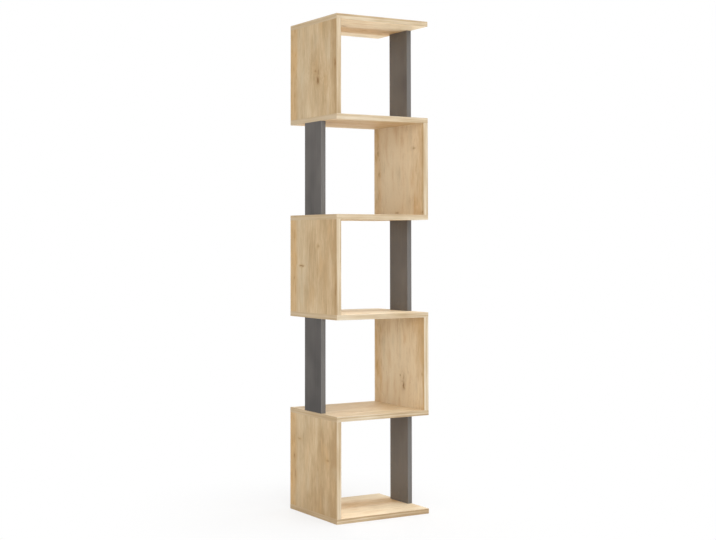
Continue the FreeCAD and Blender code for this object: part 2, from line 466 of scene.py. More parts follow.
def oak_print(across, along, seed, knots, stripes):
    """Colour, roughness and relief of the print. Stripes gives tone, orange and grey across it."""
    recipe = across.recipe
    bend, dark = knots_in(across, along, seed, knots)
    bent = across + marks(across, along, seed, WANDER) * WANDER_REACH - bend
    tone, orange, grey = stripes(bent)
    tone, layers = layered(tone, bent, along, seed, TONE_WEIGHTS)
    tone = tone + marks(across, along, seed, CLOUDS) * CLOUD_WEIGHT
    colour = ramp(recipe, tone, OAK_TONES)
    blush = marks(across, along, seed, BLUSH)
    colour = mixed(recipe, orange + rise(blush, *BLUSH_EDGES) * BLUSH_SHARE, colour, OAK_ORANGE)
    colour = mixed(recipe, grey + rise(blush * -1.0, *BLUSH_EDGES) * BLUSH_SHARE, colour, OAK_GREY)
    mottle = marks(bent, along, seed, MOTTLE)
    colour = mixed(recipe, orange * rise(mottle, *MOTTLE_EDGES) * MOTTLE_SHARE, colour, OAK_RUSSET)
    pores = marks(bent, along, seed, PORES)
    pits = rise(pores, *PORE_EDGES) * rise(layers[STREAKS] * -1.0, *PORE_STREAKS)
    colour = mixed(recipe, pits * PORE_DARK, colour, OAK_LINE)
    colour = mixed(recipe, dark, colour, mixed(recipe, dark, OAK_RUSSET, OAK_KNOT))
    rough = OAK_ROUGH + layers[LINES] * LINE_ROUGH + pits * PORE_ROUGH
    relief = layers[LINES] * LINE_RELIEF + layers[FLECKS] * FLECK_RELIEF - pits
    return colour, rough, relief


print("the grain wanders by up to", WANDER_REACH / 2, "m")

# %% [markdown]
# ## Skin and core
#
# Behind the print is particle board: pressed flakes in all shades of tan. It shows where the sheet is cut
# and in the drilled holes. Skin and core could be two materials on sorted faces, but the way a surface
# faces tells them apart, so one finish covers the whole sheet.

# %% Skin and core
CHIP_DARK = (0.40, 0.27, 0.14, 1.0)
CHIP_TAN = (0.58, 0.42, 0.25, 1.0)
CHIP_PALE = (0.74, 0.59, 0.40, 1.0)
CHIP_TONES = [(0.0, CHIP_DARK), (0.5, CHIP_TAN), (1.0, CHIP_PALE)]
CHIPS_PER_METRE = 420.0
FACE_EDGES = (0.75, 0.95)


def chips(recipe):
    """The colour of cut particle board."""
    place = recipe.node("ShaderNodeTexCoord", output="Object")
    sockets = {"Vector": place, "Scale": CHIPS_PER_METRE, "Randomness": 1.0}
    flakes = three(recipe, recipe.node("ShaderNodeTexVoronoi", {}, sockets, output="Color"))
    return ramp(recipe, flakes[0], CHIP_TONES)


def cut_sheet(recipe, printed, colour):
    """The print on the faces, particle board where the sheet is cut. Printed is 1 or -1 on the faces."""
    return mixed(recipe, rise(abs(printed), *FACE_EDGES), chips(recipe), colour)


def skin(recipe, colour, rough, relief, depth, gloss=0.5, metallic=0.0):
    """End a finish. The depth of its relief is in metres."""
    normal = recipe.node("ShaderNodeBump", {}, {"Strength": 1.0, "Distance": depth, "Height": relief})
    sockets = {"Base Color": colour, "Roughness": rough, "Normal": normal}
    sockets.update({"Specular IOR Level": gloss, "Metallic": metallic})
    shader = recipe.node("ShaderNodeBsdfPrincipled", {}, sockets)
    recipe.node("ShaderNodeOutputMaterial", {}, {"Surface": shader})


print("flakes to the metre:", CHIPS_PER_METRE)

# %% [markdown]
# ## Sizes from the packed pieces
#
# The prints have to know where a tier begins and where an upright has its middle. The numbers could be
# typed in again, but a changed drawing would leave them behind. So they are read from the packed pieces
# and rounded to a micrometre.

# %% Sizes
def low_high(node, axis):
    """How low and how high a packed piece reaches along an axis, in metres."""
    return [round(corner["xyz".index(axis)], 6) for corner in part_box(node)]


TIERS = len([name for name in nodes if name.startswith("panel_") and name.endswith("_edging")])
BOARD_THICK = low_high("base_board", "z")[1] - low_high("base_board", "z")[0]
TIER_PITCH = low_high("shelf_1", "z")[0] - low_high("base_board", "z")[0]
PANEL_HIGH = TIER_PITCH - BOARD_THICK
UPRIGHT_MIDDLE = sum(low_high("panel_2", "x")) / 2
DEPTH_HALF = low_high("base_board_edging", "y")[1]
print(TIERS, "tiers of", TIER_PITCH, "m, each with", PANEL_HIGH, "m clear")
print("uprights", UPRIGHT_MIDDLE, "m from the middle, half depth", DEPTH_HALF)

# %% [markdown]
# ## Knots on the panels
#
# The knots are what the eye remembers of a panel, so they stand where the photograph has them. Noise
# could strew them about, but then none would be in its place. They are measured on the panel as with a
# ruler.

# %% Panel knots
MM_PER_METRE = 1000
# From the back, from the top, wide and high in millimetres, and how dark.
PANEL_KNOTS = {
    1: [(70, 88, 18, 6, 0.60), (275, 140, 20, 6, 0.55), (32, 155, 10, 18, 0.75), (40, 222, 9, 34, 0.60)],
    2: [
        (202, 254, 14, 27, 0.85), (204, 224, 6, 24, 0.70), (181, 220, 8, 7, 0.70), (325, 205, 9, 12, 0.45),
        (200, 235, 36, 50, 0.20),
    ],
    3: [
        (85, 165, 28, 5, 0.85), (210, 95, 18, 14, 0.55), (205, 185, 9, 34, 0.35), (30, 210, 9, 12, 0.60),
        (332, 250, 7, 45, 0.75),
    ],
    4: [
        (275, 88, 18, 7, 0.65), (160, 322, 22, 7, 0.60), (35, 175, 11, 20, 0.70), (28, 95, 10, 16, 0.60),
        (30, 262, 12, 24, 0.45), (330, 322, 8, 9, 0.75),
    ],
    5: [
        (206, 204, 15, 24, 1.00), (209, 172, 6, 28, 0.75), (188, 170, 11, 9, 0.65), (329, 155, 9, 28, 0.85),
        (205, 185, 44, 60, 0.22),
    ],
}


def panel_knots(tier):
    """The knots of one panel, turned from millimetres on its face into the shelf's frame."""
    top = tier * TIER_PITCH
    knots = []
    for from_back, from_top, wide, high, depth in PANEL_KNOTS[tier]:
        side = DEPTH_HALF - from_back / MM_PER_METRE
        height = top - from_top / MM_PER_METRE
        knots.append((side, height, wide / MM_PER_METRE, high / MM_PER_METRE, depth))
    return knots


print("knots on the panels:", [len(knots) for knots in PANEL_KNOTS.values()])

# %% [markdown]
# ## Stripes across the panels
#
# The five panels are cut from one sheet. In the photograph the same orange strip runs up their backs and
# the same brown one up their fronts, where a thin dark seam meets the edging. Painted masks could do
# that, but a ramp from the back to the front is quicker to change. The inner faces get less light but
# look as light as the outer ones, so painted light makes them lighter and warmer than the print, and their
# ramp darkens them toward the front. The outer faces carry painted shade, more of it toward the floor.

# %% Panel stripes
# Share of the way from the back to the front, and there tone, orange and grey.
OUTER_STRIPES = [
    (0.00, 0.42, 0.40, 0.00),
    (0.03, 0.48, 0.70, 0.00),
    (0.11, 0.50, 0.62, 0.00),
    (0.17, 0.56, 0.10, 0.30),
    (0.32, 0.55, 0.05, 0.25),
    (0.46, 0.51, 0.10, 0.10),
    (0.72, 0.49, 0.10, 0.05),
    (1.00, 0.47, 0.20, 0.00),
]
# The inner faces' ramp holds painted light too: lighter and warmer in the middle than the print, darker
# toward the front.
INNER_STRIPES_AND_PAINTED_LIGHT = [
    (0.00, 0.44, 0.50, 0.00),
    (0.03, 0.50, 0.70, 0.00),
    (0.11, 0.52, 0.62, 0.00),
    (0.17, 0.56, 0.30, 0.05),
    (0.30, 0.66, 0.08, 0.04),
    (0.46, 0.62, 0.10, 0.03),
    (0.66, 0.44, 0.24, 0.00),
    (0.79, 0.26, 0.26, 0.00),
    (0.90, 0.08, 0.32, 0.00),
    (1.00, 0.02, 0.34, 0.00),
]
# Share of the height, and there a tone of painted shade on the outer faces, of painted light on the inner
# ones.
OUTER_PAINTED_SHADE = [(0.0, 0.40), (0.10, 0.25), (0.19, 0.14)]
INNER_PAINTED_LIGHT = [(0.22, 0.74), (0.30, 0.66), (0.39, 0.36), (0.62, 0.84), (0.70, 0.70)]
# Metres from the middle toward the front where a band begins and is full.
FRONT_BAND = (0.110, 0.155)
FRONT_DARKER = 0.18
SEAM_BAND = (0.157, 0.163)
SEAM_DARKER = 0.55


def stripe(recipe, share, stripes):
    """Tone, orange and grey as one colour, for a share of the way across."""
    return ramp(recipe, share, [(place, (*values, 1.0)) for place, *values in stripes])


def by_height(recipe, tones):
    """A tone that changes with the height, from 0 at the floor to 1 at the top board."""
    height = spot(recipe)[2] / (TIERS * TIER_PITCH)
    return three(recipe, stripe(recipe, height, [(share, tone, tone, tone) for share, tone in tones]))[0]


def panel_stripes(bent):
    """Tone, orange and grey from the back edge of a panel to its front edge, with painted light on the inner
    faces and painted shade on the outer ones.
    """
    recipe = bent.recipe
    share = (DEPTH_HALF - bent) / (2 * DEPTH_HALF)
    x, y = spot(recipe)[:2]
    inner = abs(x) < UPRIGHT_MIDDLE
    outer_face = stripe(recipe, share, OUTER_STRIPES)
    inner_face = stripe(recipe, share, INNER_STRIPES_AND_PAINTED_LIGHT)
    tone, orange, grey = three(recipe, mixed(recipe, inner, outer_face, inner_face))
    # Painted light on the inner faces, painted shade on the outer ones, by height.
    lighter = inner * by_height(recipe, INNER_PAINTED_LIGHT) - (1.0 - inner) * by_height(recipe, OUTER_PAINTED_SHADE)
    darker = rise(y * -1.0, *FRONT_BAND) * FRONT_DARKER + rise(y * -1.0, *SEAM_BAND) * SEAM_DARKER
    return tone + lighter - darker, orange, grey


print("stripes:", len(OUTER_STRIPES), "outside and", len(INNER_STRIPES_AND_PAINTED_LIGHT), "inside")

# %% [markdown]
# ## Panel finishes
#
# One finish could hold the knots of all panels, but a shader has room for only so many, so every panel
# gets its own. On the face that looks to the right the print is turned half round, so that the two faces
# of a panel don't show the same picture.

# %% Panels
TIER_SEED = 3.7
FAR_SEED = 1.9
PRINT_RELIEF = 0.00008
PRINT_GLOSS = 0.03


def panel_print(recipe, knots):
    """The oak print where it lies on a panel, with that panel's knots."""
    x, y, z = spot(recipe)
    tier = z.maths("FLOOR", (z - BOARD_THICK / 2) / TIER_PITCH)
    far_face = (x - x.maths("SIGN", x) * UPRIGHT_MIDDLE) > 0.0
    turn = 1.0 - 2.0 * far_face
    middle = tier * TIER_PITCH + BOARD_THICK + PANEL_HIGH / 2
    along = z * turn + middle * 2.0 * far_face
    return oak_print(y * turn, along, tier * TIER_SEED + far_face * FAR_SEED, knots, panel_stripes)


panel_oaks = {}
for number in PANEL_KNOTS:
    panel_oaks[f"panel_{number}"], recipe = finish(f"oak_panel_{number}")
    colour, rough, relief = panel_print(recipe, panel_knots(number))
    colour = cut_sheet(recipe, facing(recipe)[0], colour)
    skin(recipe, colour, rough, relief, PRINT_RELIEF, PRINT_GLOSS)
    print("panel", number, "has", len(recipe.tree.nodes), "nodes")

# %% [markdown]
# ## Painted light and shade on the boards
#
# On the boards the grain runs along the shelf's width, and a band of painted light and shade lies in the
# middle or a little behind it: on most faces darker and warmer, with paler sides, on the first shelf's top
# lighter. Six materials would do, but one that knows its height is less to keep. It gives every band its
# own place, width and tone: wide on the fourth shelf, narrow and brown under the top board, with one
# painted shadow streak on the base board.

# %% Board stripes
# Share of the height, and there the painted band's way back in metres, its width as a share, or a tone of
# painted light and shade.
PAINTED_BAND_BACK = [(0.0, 0.030), (0.2, 0.050), (0.4, 0.040), (0.6, 0.0), (0.8, 0.0), (1.0, 0.042)]
PAINTED_BAND_SHARE = [(0.0, 0.68), (0.2, 1.00), (0.4, 0.65), (0.6, 1.0), (0.8, 1.0), (1.0, 0.64)]
UPPER_PAINTED_BAND = [(0.0, 0.83), (0.2, 1.04), (0.4, 0.66), (0.6, 0.83)]
UPPER_SIDE = [(0.0, 1.16), (0.2, 0.74), (0.4, 1.16), (0.6, 0.83)]
UPPER_PAINTED_WARMTH = [(0.0, 0.58), (0.2, 0.40), (0.4, 0.08), (0.6, 0.16)]
UNDER_PAINTED_WARMTH = [(0.8, 0.62), (1.0, 1.25)]
PAINTED_SHADOW_STREAK = [(0.0, 0.32), (0.2, 0.0)]
SHADOW_STREAK_WIDE = 0.020
PAINTED_BAND_CORE = 0.035
PAINTED_BAND_END = 0.115
WIDE_BAND_BOARD = 4
WIDE_BAND_MORE = 0.075
UNDER_PAINTED_BAND = 0.56
UNDER_SIDE = 0.98
BOARD_GREY = 0.05


def board_stripes(bent):
    """Tone, orange and grey: a band of painted light and shade along the board, with its own place and tone
    on every board.
    """
    recipe = bent.recipe
    z = spot(recipe)[2]
    up = facing(recipe)[2] > 0.0
    # A band of painted light and shade along a face: darker and warmer on most faces, paler beside it.
    painted_band = bent - (1.0 - 2.0 * up) * by_height(recipe, PAINTED_BAND_BACK)
    wide = z.maths("COMPARE", z, WIDE_BAND_BOARD * TIER_PITCH, TIER_PITCH / 2) * WIDE_BAND_MORE
    side = rise(abs(painted_band) / by_height(recipe, PAINTED_BAND_SHARE) - wide, PAINTED_BAND_CORE, PAINTED_BAND_END)
    upper = by_height(recipe, UPPER_PAINTED_BAND) * (1.0 - side) + by_height(recipe, UPPER_SIDE) * side
    under = UNDER_PAINTED_BAND + side * (UNDER_SIDE - UNDER_PAINTED_BAND)
    # A painted shadow streak along the base board.
    shadow_streak = bell((painted_band / SHADOW_STREAK_WIDE) ** 2.0, 1.0) * by_height(recipe, PAINTED_SHADOW_STREAK)
    # The band is painted warmer, as light bounced off the oak.
    orange = by_height(recipe, UPPER_PAINTED_WARMTH) * up + by_height(recipe, UNDER_PAINTED_WARMTH) * (1.0 - up)
    return upper * up + under * (1.0 - up) - shadow_streak, orange * (1.0 - side), BOARD_GREY


print("a heart fades out", PAINTED_BAND_END, "m from its middle")

# %% [markdown]
# ## Board finish
#
# All six boards come one after the other from a long sheet, and their upper faces from further along it.
# A random shift for each board would do as well, but a sheet that is cut up is easier to picture.

# %% Boards
# Across the sheet, along it, wide and long in metres, and how dark.
BOARD_KNOTS = [
    (0.060, 0.470, 0.012, 0.022, 0.7),
    (-0.090, 1.330, 0.010, 0.018, 0.5),
    (-0.030, 2.170, 0.013, 0.026, 0.8),
    (0.100, 5.210, 0.012, 0.024, 0.8),
    (-0.055, 6.120, 0.011, 0.024, 0.6),
    (0.075, 3.480, 0.012, 0.022, 0.6),
]
SHEET_STEP = 0.45
SHEET_TURN = 3.0
BOARD_SEED = 40.0
LEVEL_SEED = 0.37
UPPER_SEED = 2.1


def board_print(recipe):
    """The oak print where it lies on a board."""
    x, y, z = spot(recipe)
    level = z.maths("ROUND", (z - BOARD_THICK / 2) / TIER_PITCH)
    top_face = (z - level * TIER_PITCH) > BOARD_THICK / 2
    turn = 1.0 - 2.0 * top_face
    along = x * turn + level * SHEET_STEP + top_face * SHEET_TURN
    seed = level * LEVEL_SEED + top_face * UPPER_SEED + BOARD_SEED
    return oak_print(y * turn, along, seed, BOARD_KNOTS, board_stripes)


board_oak, recipe = finish("oak_boards")
colour, rough, relief = board_print(recipe)
colour = cut_sheet(recipe, facing(recipe)[2], colour)
skin(recipe, colour, rough, relief, PRINT_RELIEF, PRINT_GLOSS)
print("boards:", len(BOARD_KNOTS), "knots,", len(recipe.tree.nodes), "nodes")

# %% [markdown]
# ## Edging strips
#
# Every cut edge that shows carries a plastic strip, one millimetre thick, in a paler oak: a few wide
# bands and many fine lines along it. Hands and cloths rub its rounded corners a little lighter and
# smoother. They could be picked by hand, but the way they face finds them: along no axis.

# %% The print of a strip
EDGE_LINE = (0.440, 0.310, 0.180, 1.0)
EDGE_TAN = (0.570, 0.440, 0.280, 1.0)
EDGE_PALE = (0.665, 0.548, 0.388, 1.0)
EDGE_CREAM = (0.745, 0.648, 0.500, 1.0)
EDGE_TONES = [(0.0, EDGE_LINE), (0.35, EDGE_TAN), (0.65, EDGE_PALE), (1.0, EDGE_CREAM)]
STRIP_BANDS = (150.0, 2.5, 2.0, 0.0)
STRIP_LINES = (700.0, 8.0, 3.0, 3.0)
STRIP_CLOUDS = (20.0, 9.0, 2.0, 7.0)
STRIP_WEIGHTS = {STRIP_BANDS: 2.3, STRIP_LINES: 0.8, STRIP_CLOUDS: 0.7}
CORNER_EDGES = (0.02, 0.20)
WORN_PALER = 0.35
STRIP_ROUGH = 0.60
STRIP_LINE_ROUGH = 0.14
WORN_SMOOTHER = 0.12


def rubbed(recipe):
    """1 on rounded corners, 0 on flat faces."""
    x, y, z = [abs(part) for part in facing(recipe)]
    return rise(1.0 - larger(x, larger(y, z)), *CORNER_EDGES)


def strip_print(across, along, seed, tone):
    """Bands and fine lines along a strip: colour, roughness and relief."""
    recipe = across.recipe
    tone, layers = layered(tone, across, along, seed, STRIP_WEIGHTS)
    lines = layers[STRIP_LINES]
    worn = rubbed(recipe)
    colour = mixed(recipe, worn * WORN_PALER, ramp(recipe, tone, EDGE_TONES), EDGE_CREAM)
    return colour, STRIP_ROUGH + lines * STRIP_LINE_ROUGH - worn * WORN_SMOOTHER, lines


print("edging in", len(EDGE_TONES), "tones")

# %% [markdown]
# ## Strips on panels and boards
#
# The lines run along Z on a panel, along X at the front and back of a board, and along Y at its ends. No
# two boards have the same strip. Six strips could be painted, but a tone that changes with the height
# does it in one. Part of it is painted light and shade: the base board's strip and the board ends are
# painted darker as shade, and the panel strips are paler toward the foot and darker toward the top.

# %% Oak edging
EDGE_RELIEF = 0.00004
EDGE_GLOSS = 0.12
STRIP_DEEP = 30.0
PANEL_STRIP_SEED = 9.0
PANEL_STRIP_FOOT = 0.60
PANEL_STRIP_FALL = 0.12
RIGHT_STRIP_PALER = 0.12
# Share of the height, and there the tone of a board's strip; the base board's low tone is painted shade.
LEVEL_TONES_AND_SHADE = [(0.0, 0.12), (0.2, 0.30), (0.4, 0.47), (0.6, 0.50), (0.8, 0.68), (1.0, 0.40)]
END_FACING = 0.7
END_SEED = 5.0
# How far the board ends are painted toward tan: painted shade.
END_PAINTED_SHADE = 0.55
STRIP_LEVEL_SEED = 0.9

panel_edge_oak, recipe = finish("oak_edging_panels")
x, y, z = spot(recipe)
# The panel strips are paler toward the foot and darker toward the top: painted light and shade.
tone = PANEL_STRIP_FOOT - z * PANEL_STRIP_FALL + (x > 0.0) * RIGHT_STRIP_PALER
colour, rough, relief = strip_print(x, z, y * STRIP_DEEP + PANEL_STRIP_SEED, tone)
skin(recipe, colour, rough, relief, EDGE_RELIEF, EDGE_GLOSS)

board_edge_oak, recipe = finish("oak_edging_boards")
x, y, z = spot(recipe)
at_end = abs(facing(recipe)[0]) > END_FACING
along = x * (1.0 - at_end) + y * at_end
seed = at_end * END_SEED + z * STRIP_LEVEL_SEED
colour, rough, relief = strip_print(z, along, seed, by_height(recipe, LEVEL_TONES_AND_SHADE))
# The board ends are painted darker: painted shade.
colour = mixed(recipe, at_end * END_PAINTED_SHADE, colour, OAK_TAN)
skin(recipe, colour, rough, relief, EDGE_RELIEF, EDGE_GLOSS)
print("strips of the boards in", len(LEVEL_TONES_AND_SHADE), "tones")

# %% [markdown]
# ## Anthracite posts
#
# The posts have an anthracite face with a fine leathery grit and barely visible lines. A single grey
# would look like cardboard, so tone and roughness wander a little. The tone also changes from post to
# post, as it does in the photograph: partly the posts' own tone, partly painted light and shade, paler at
# the foot of the lowest post and darkest at the foot of the second, and painted light makes the inner
# faces paler.

# %% Posts
POST_TONES = [(0.0, (0.066, 0.060, 0.056, 1.0)), (1.0, (0.178, 0.162, 0.148, 1.0))]
# Share of the height, and there a tone: the posts' own tone and painted light and shade.
POST_LEVELS_LIGHT_AND_SHADE = [
    (0.01, 0.69), (0.10, 0.58), (0.17, 0.45), (0.20, 0.31), (0.21, 0.00),
    (0.30, 0.19), (0.38, 0.32), (0.40, 0.35), (0.60, 0.41), (1.00, 0.41),
]
POST_LINES = (260.0, 3.5, 3.0, 0.0)
POST_GRIT = (1800.0, 1800.0, 2.0, 3.0)
POST_CLOUDS = (9.0, 5.0, 2.0, 2.0)
POST_WEIGHTS = {POST_LINES: 0.5, POST_GRIT: 0.18, POST_CLOUDS: 1.3}
POST_DEEP = 40.0
# Painted light that makes the inner faces of the posts paler.
INNER_POST_PAINTED_LIGHT = 0.33
POST_ROUGH = 0.56
POST_MARK_ROUGH = 0.12
POST_LINE_RELIEF = 0.4
POST_RELIEF = 0.00005
POST_GLOSS = 0.22


def post_print(recipe):
    """Grit and faint lines: colour, roughness and relief."""
    x, y, z = spot(recipe)
    # Tone by height with painted light and shade, and painted light on the inner faces.
    tone = by_height(recipe, POST_LEVELS_LIGHT_AND_SHADE) + (abs(x) < UPRIGHT_MIDDLE) * INNER_POST_PAINTED_LIGHT
    tone, layers = layered(tone, y, z, x * POST_DEEP, POST_WEIGHTS)
    lines, grit = layers[POST_LINES], layers[POST_GRIT]
    rough = POST_ROUGH + lines * POST_MARK_ROUGH + grit * POST_MARK_ROUGH
    return ramp(recipe, tone, POST_TONES), rough, lines * POST_LINE_RELIEF + grit


post_dark, recipe = finish("anthracite_posts")
colour, rough, relief = post_print(recipe)
colour = cut_sheet(recipe, facing(recipe)[0], colour)
skin(recipe, colour, rough, relief, POST_RELIEF, POST_GLOSS)
print("posts in", len(POST_LEVELS_LIGHT_AND_SHADE), "steps of tone")

# %% [markdown]
# ## Anthracite strips
#
# The strips at the front and back of a post are the same grey, a little paler and smoother than the face.
# The face's finish could be used again, but a strip has no grit, only fine lines along it and rubbed
# corners.

# %% Post strips
POST_EDGE_TONES = [(0.2, (0.154, 0.148, 0.142, 1.0)), (0.8, (0.190, 0.182, 0.174, 1.0))]
POST_GREY = (0.230, 0.220, 0.212, 1.0)
POST_STRIP_LINES = (420.0, 4.0, 3.0, 0.0)
POST_WORN_PALER = 0.4
POST_STRIP_ROUGH = 0.50
POST_WORN_SMOOTHER = 0.1

post_edge_dark, recipe = finish("anthracite_edging")
x, y, z = spot(recipe)
lines = marks(x, z, y * STRIP_DEEP, POST_STRIP_LINES)
worn = rubbed(recipe)
colour = ramp(recipe, RAMP_MIDDLE + lines, POST_EDGE_TONES)
colour = mixed(recipe, worn * POST_WORN_PALER, colour, POST_GREY)
rough = POST_STRIP_ROUGH + lines * STRIP_LINE_ROUGH - worn * POST_WORN_SMOOTHER
skin(recipe, colour, rough, lines, EDGE_RELIEF, POST_GLOSS)
print("strips of the posts:", len(recipe.tree.nodes), "nodes")

# %% [markdown]
# ## Metal
#
# The hidden bolts are zinc-plated steel and the cams are cast in zinc. Turned metal shows fine rings and
# cast metal a soft mottle. Both could be drawn as colour alone, but bare metal shows its marks by the way
# it shines, so the same noise goes into roughness and relief too.

# %% Metal finishes
ZINC_TONES = [(0.2, (0.56, 0.57, 0.58, 1.0)), (0.8, (0.72, 0.73, 0.72, 1.0))]
ZINC_RINGS = (5200.0, 30.0, 2.0, 1.0)
ZINC_STAIN = (120.0, 120.0, 3.0, 0.0)
ZINC_STAIN_DEEP = 90.0
RING_TONE = 0.6
STAIN_TONE = 0.9
ZINC_ROUGH = 0.30
RING_ROUGH = 0.25
STAIN_ROUGH = 0.3
ZINC_RELIEF = 0.00001
CAST_TONES = [(0.2, (0.44, 0.45, 0.46, 1.0)), (0.8, (0.58, 0.58, 0.57, 1.0))]
CAST_MOTTLE = (700.0, 700.0, 4.0, 0.0)
CAST_STAIN = (90.0, 90.0, 3.0, 0.0)
CAST_MARK_TONE = 0.7
CAST_ROUGH = 0.46
CAST_MOTTLE_ROUGH = 0.35
CAST_RELIEF = 0.00004

zinc, recipe = finish("zinc_plate")
x, y, z = spot(recipe)
rings = marks(z, x + y, 0.0, ZINC_RINGS)
stain = marks(x, z, y * ZINC_STAIN_DEEP, ZINC_STAIN)
colour = ramp(recipe, RAMP_MIDDLE + rings * RING_TONE + stain * STAIN_TONE, ZINC_TONES)
rough = ZINC_ROUGH + rings * RING_ROUGH + stain * STAIN_ROUGH
skin(recipe, colour, rough, rings, ZINC_RELIEF, metallic=1.0)

cast_zinc, recipe = finish("cast_zinc")
x, y, z = spot(recipe)
mottle = marks(y, z, x * CAST_MOTTLE[0], CAST_MOTTLE)
stain = marks(y, z, x * CAST_STAIN[0], CAST_STAIN)
colour = ramp(recipe, RAMP_MIDDLE + mottle * CAST_MARK_TONE + stain * CAST_MARK_TONE, CAST_TONES)
skin(recipe, colour, CAST_ROUGH + mottle * CAST_MOTTLE_ROUGH, mottle, CAST_RELIEF, metallic=1.0)
print("zinc plate and cast zinc")

# %% [markdown]
# ## Beech
#
# The dowels are raw beech: pale, with short darker flecks along the grain. The oak print could be tinted
# for it, but a dowel shows no open pores and no knots, so two kinds of marks are enough.

# %% Beech finish
BEECH_TONES = [(0.25, (0.56, 0.37, 0.21, 1.0)), (0.75, (0.76, 0.58, 0.39, 1.0))]
BEECH_GRAIN = (1500.0, 45.0, 3.0, 0.0)
BEECH_GRAIN_DEEP = 900.0
BEECH_FLECKS = (2600.0, 420.0, 1.0, 5.0)
BEECH_FLECKS_DEEP = 1900.0
BEECH_FLECK_EDGES = (0.08, 0.2)
BEECH_GRAIN_TONE = 1.1
BEECH_FLECK_DARK = 0.25
BEECH_ROUGH = 0.66
BEECH_GRAIN_ROUGH = 0.2
BEECH_RELIEF = 0.00005
BEECH_GLOSS = 0.2

beech, recipe = finish("raw_beech")
x, y, z = spot(recipe)
grain = marks(x + y, z, y * BEECH_GRAIN_DEEP, BEECH_GRAIN)
flecks = rise(marks(x, z, y * BEECH_FLECKS_DEEP, BEECH_FLECKS), *BEECH_FLECK_EDGES)
colour = ramp(recipe, RAMP_MIDDLE + grain * BEECH_GRAIN_TONE - flecks * BEECH_FLECK_DARK, BEECH_TONES)
rough = BEECH_ROUGH + grain * BEECH_GRAIN_ROUGH
skin(recipe, colour, rough, grain - flecks, BEECH_RELIEF, BEECH_GLOSS)
print("beech:", len(recipe.tree.nodes), "nodes")

# %% [markdown]
# ## Dress the packed pieces
#
# The boards, panels, posts and strips keep their packed shape, because a flat sheet with a
# half-millimetre rounding on its strips is already right. Only their finishes change.

# %% Hand the finishes out
FITTINGS = ("cam_bolts", "cam_locks", "dowels", "panel_cover_caps", "post_cover_caps")
STRIPS = {"panel": panel_edge_oak, "post": post_edge_dark}


def dress(name, material):
    """Give a packed piece its finish."""
    slots = nodes[name].data.materials
    slots.clear()
    slots.append(material)


for name in sorted(nodes):
    kind = name.split("_")[0]
    if name in FITTINGS:
        continue
    if name.endswith("_edging"):
        dress(name, STRIPS.get(kind, board_edge_oak))
    elif kind == "post":
        dress(name, post_dark)
    else:
        dress(name, panel_oaks.get(name, board_oak))
dress("cam_locks", cast_zinc)
print("dressed", len(nodes) - len(FITTINGS) + 1, "pieces")

# %% [markdown]
# ## Places for the fittings
#
# Every upright has the same set at its foot and at its head: bolts and dowels stand in the boards, and a
# cap closes each cam's hole on the inner face. They could be placed one by one. But a place is only a
# point and the way it faces, and the uprights' own boxes tell both.

# %% Places
PANEL_BOLT_SETBACK = 0.050
DOWEL_SPACING = 0.032
CAM_SETBACK = 0.024
bolt_side = DEPTH_HALF - PANEL_BOLT_SETBACK
dowel_side = bolt_side - DOWEL_SPACING

bolt_places = []
dowel_places = []
panel_cap_places = []
post_cap_places = []


def upright_places(name, bolts, dowels, caps):
    """Add the places at both ends of one upright."""
    left, right = low_high(name, "x")
    foot, head = low_high(name, "z")
    middle = (left + right) / 2
    inner, inward = (left, -1.0) if middle > 0.0 else (right, 1.0)
    for end, up in ((foot, 1.0), (head, -1.0)):
        bolt_places.extend([((middle, side, end), (0.0, 0.0, up)) for side in bolts])
        dowel_places.extend([((middle, side, end), (0.0, 0.0, up)) for side in dowels])
        caps.extend([((inner, side, end + up * CAM_SETBACK), (inward, 0.0, 0.0)) for side in bolts])


for tier in range(1, TIERS + 1):
    upright_places(f"panel_{tier}", (-bolt_side, bolt_side), (-dowel_side, dowel_side), panel_cap_places)
    upright_places(f"post_{tier}", (0.0,), (-DOWEL_SPACING, DOWEL_SPACING), post_cap_places)
print(len(bolt_places), "bolts and", len(dowel_places), "dowels")
print(len(panel_cap_places), "oak caps and", len(post_cap_places), "dark ones")

# %% [markdown]
# ## Trees with named sizes
#
# Bolts, dowels and caps come in dozens of equal copies. They could be modelled once and copied by hand. A
# geometry tree builds the shape from named sizes and sets it out on all the places, so a change of size
# reaches every copy.

# %% Helpers for geometry trees
def fitting_tree(name, sizes):
    """A geometry tree with an input for its places, for each of its sizes and for its finish."""
    tree = bpy.data.node_groups.new(name, "GeometryNodeTree")
    tree.interface.new_socket("Geometry", in_out="OUTPUT", socket_type="NodeSocketGeometry")
    tree.interface.new_socket("Places", in_out="INPUT", socket_type="NodeSocketGeometry")
    for size, value in sizes.items():
        tree.interface.new_socket(size, in_out="INPUT", socket_type="NodeSocketFloat").default_value = value
    tree.interface.new_socket("Finish", in_out="INPUT", socket_type="NodeSocketMaterial")
    recipe = Recipe(tree)
    entry = tree.nodes.new("NodeGroupInput")
    return recipe, {socket.name: Wire(recipe, socket) for socket in entry.outputs if socket.name}


def set_out(recipe, inputs, body):
    """Put one body on every place, turned the way the place faces, and end the tree."""
    way = recipe.node("GeometryNodeInputNamedAttribute", {"data_type": "FLOAT_VECTOR"}, {"Name": "facing"})
    turn = recipe.node("FunctionNodeAlignRotationToVector", {"axis": "Z"}, {"Vector": way})
    sockets = {"Points": inputs["Places"], "Instance": body, "Rotation": turn}
    many = recipe.node("GeometryNodeInstanceOnPoints", {}, sockets)
    many = recipe.node("GeometryNodeRealizeInstances", {}, {"Geometry": many})
    many = recipe.node("GeometryNodeSetMaterial", {}, {"Geometry": many, "Material": inputs["Finish"]})
    recipe.node("NodeGroupOutput", {}, {0: many})


print("trees can be filled and ended")

